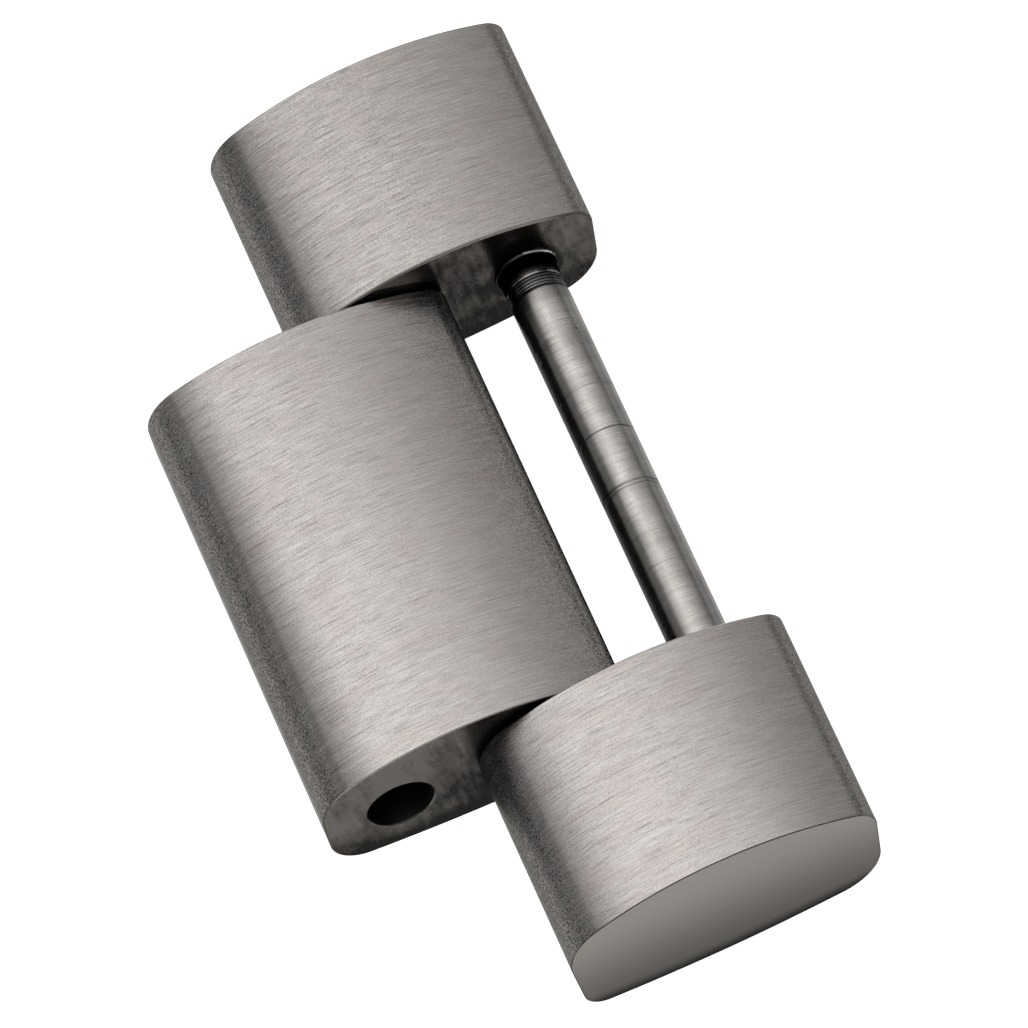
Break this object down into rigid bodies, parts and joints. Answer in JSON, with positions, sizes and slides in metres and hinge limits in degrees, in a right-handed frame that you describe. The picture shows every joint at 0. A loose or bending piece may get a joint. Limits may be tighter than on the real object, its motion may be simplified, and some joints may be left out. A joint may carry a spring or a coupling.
{
  "type": "watch bracelet link",
  "caption": "Screwed watch bracelet link: a wide centre link hinged between outer links, with a slotted link screw across the open end.",
  "frame": {"origin": "on the axis of the open bore at the centre link's free end, halfway across the bracelet", "axes": "+X along the bracelet from the open bore towards the link screw, +Y along the pins towards the outer link that holds the screw's head, +Z away from the wrist"},
  "size_m": [0.0099, 0.02, 0.0035],
  "materials": {
    "brushed_link": "warm grey, brushed along the bracelet on crown and underside, fine satin on the side faces",
    "turned_screw": "turned and polished, with fine rings round the shaft",
    "turned_pin": "ground and polished"
  },
  "bodies": {
    "outer_links": {"near_outer_link": "brushed_link", "far_outer_link": "brushed_link", "hinge_pin": "turned_pin"},
    "centre": {"centre_link": "brushed_link"},
    "screw": {"link_screw": "turned_screw"}
  },
  "joints": [
    {"name": "centre_swing", "type": "hinge", "parent": "outer_links", "child": "centre", "pos_m": [0.00331, 0, -0.00023], "axis": [0, 1, 0], "range_deg": [-146, 126]},
    {"name": "screw_withdraw", "type": "slide", "parent": "outer_links", "child": "screw", "axis": [0, 1, 0], "range_m": [0, 0.0125]}
  ]
}
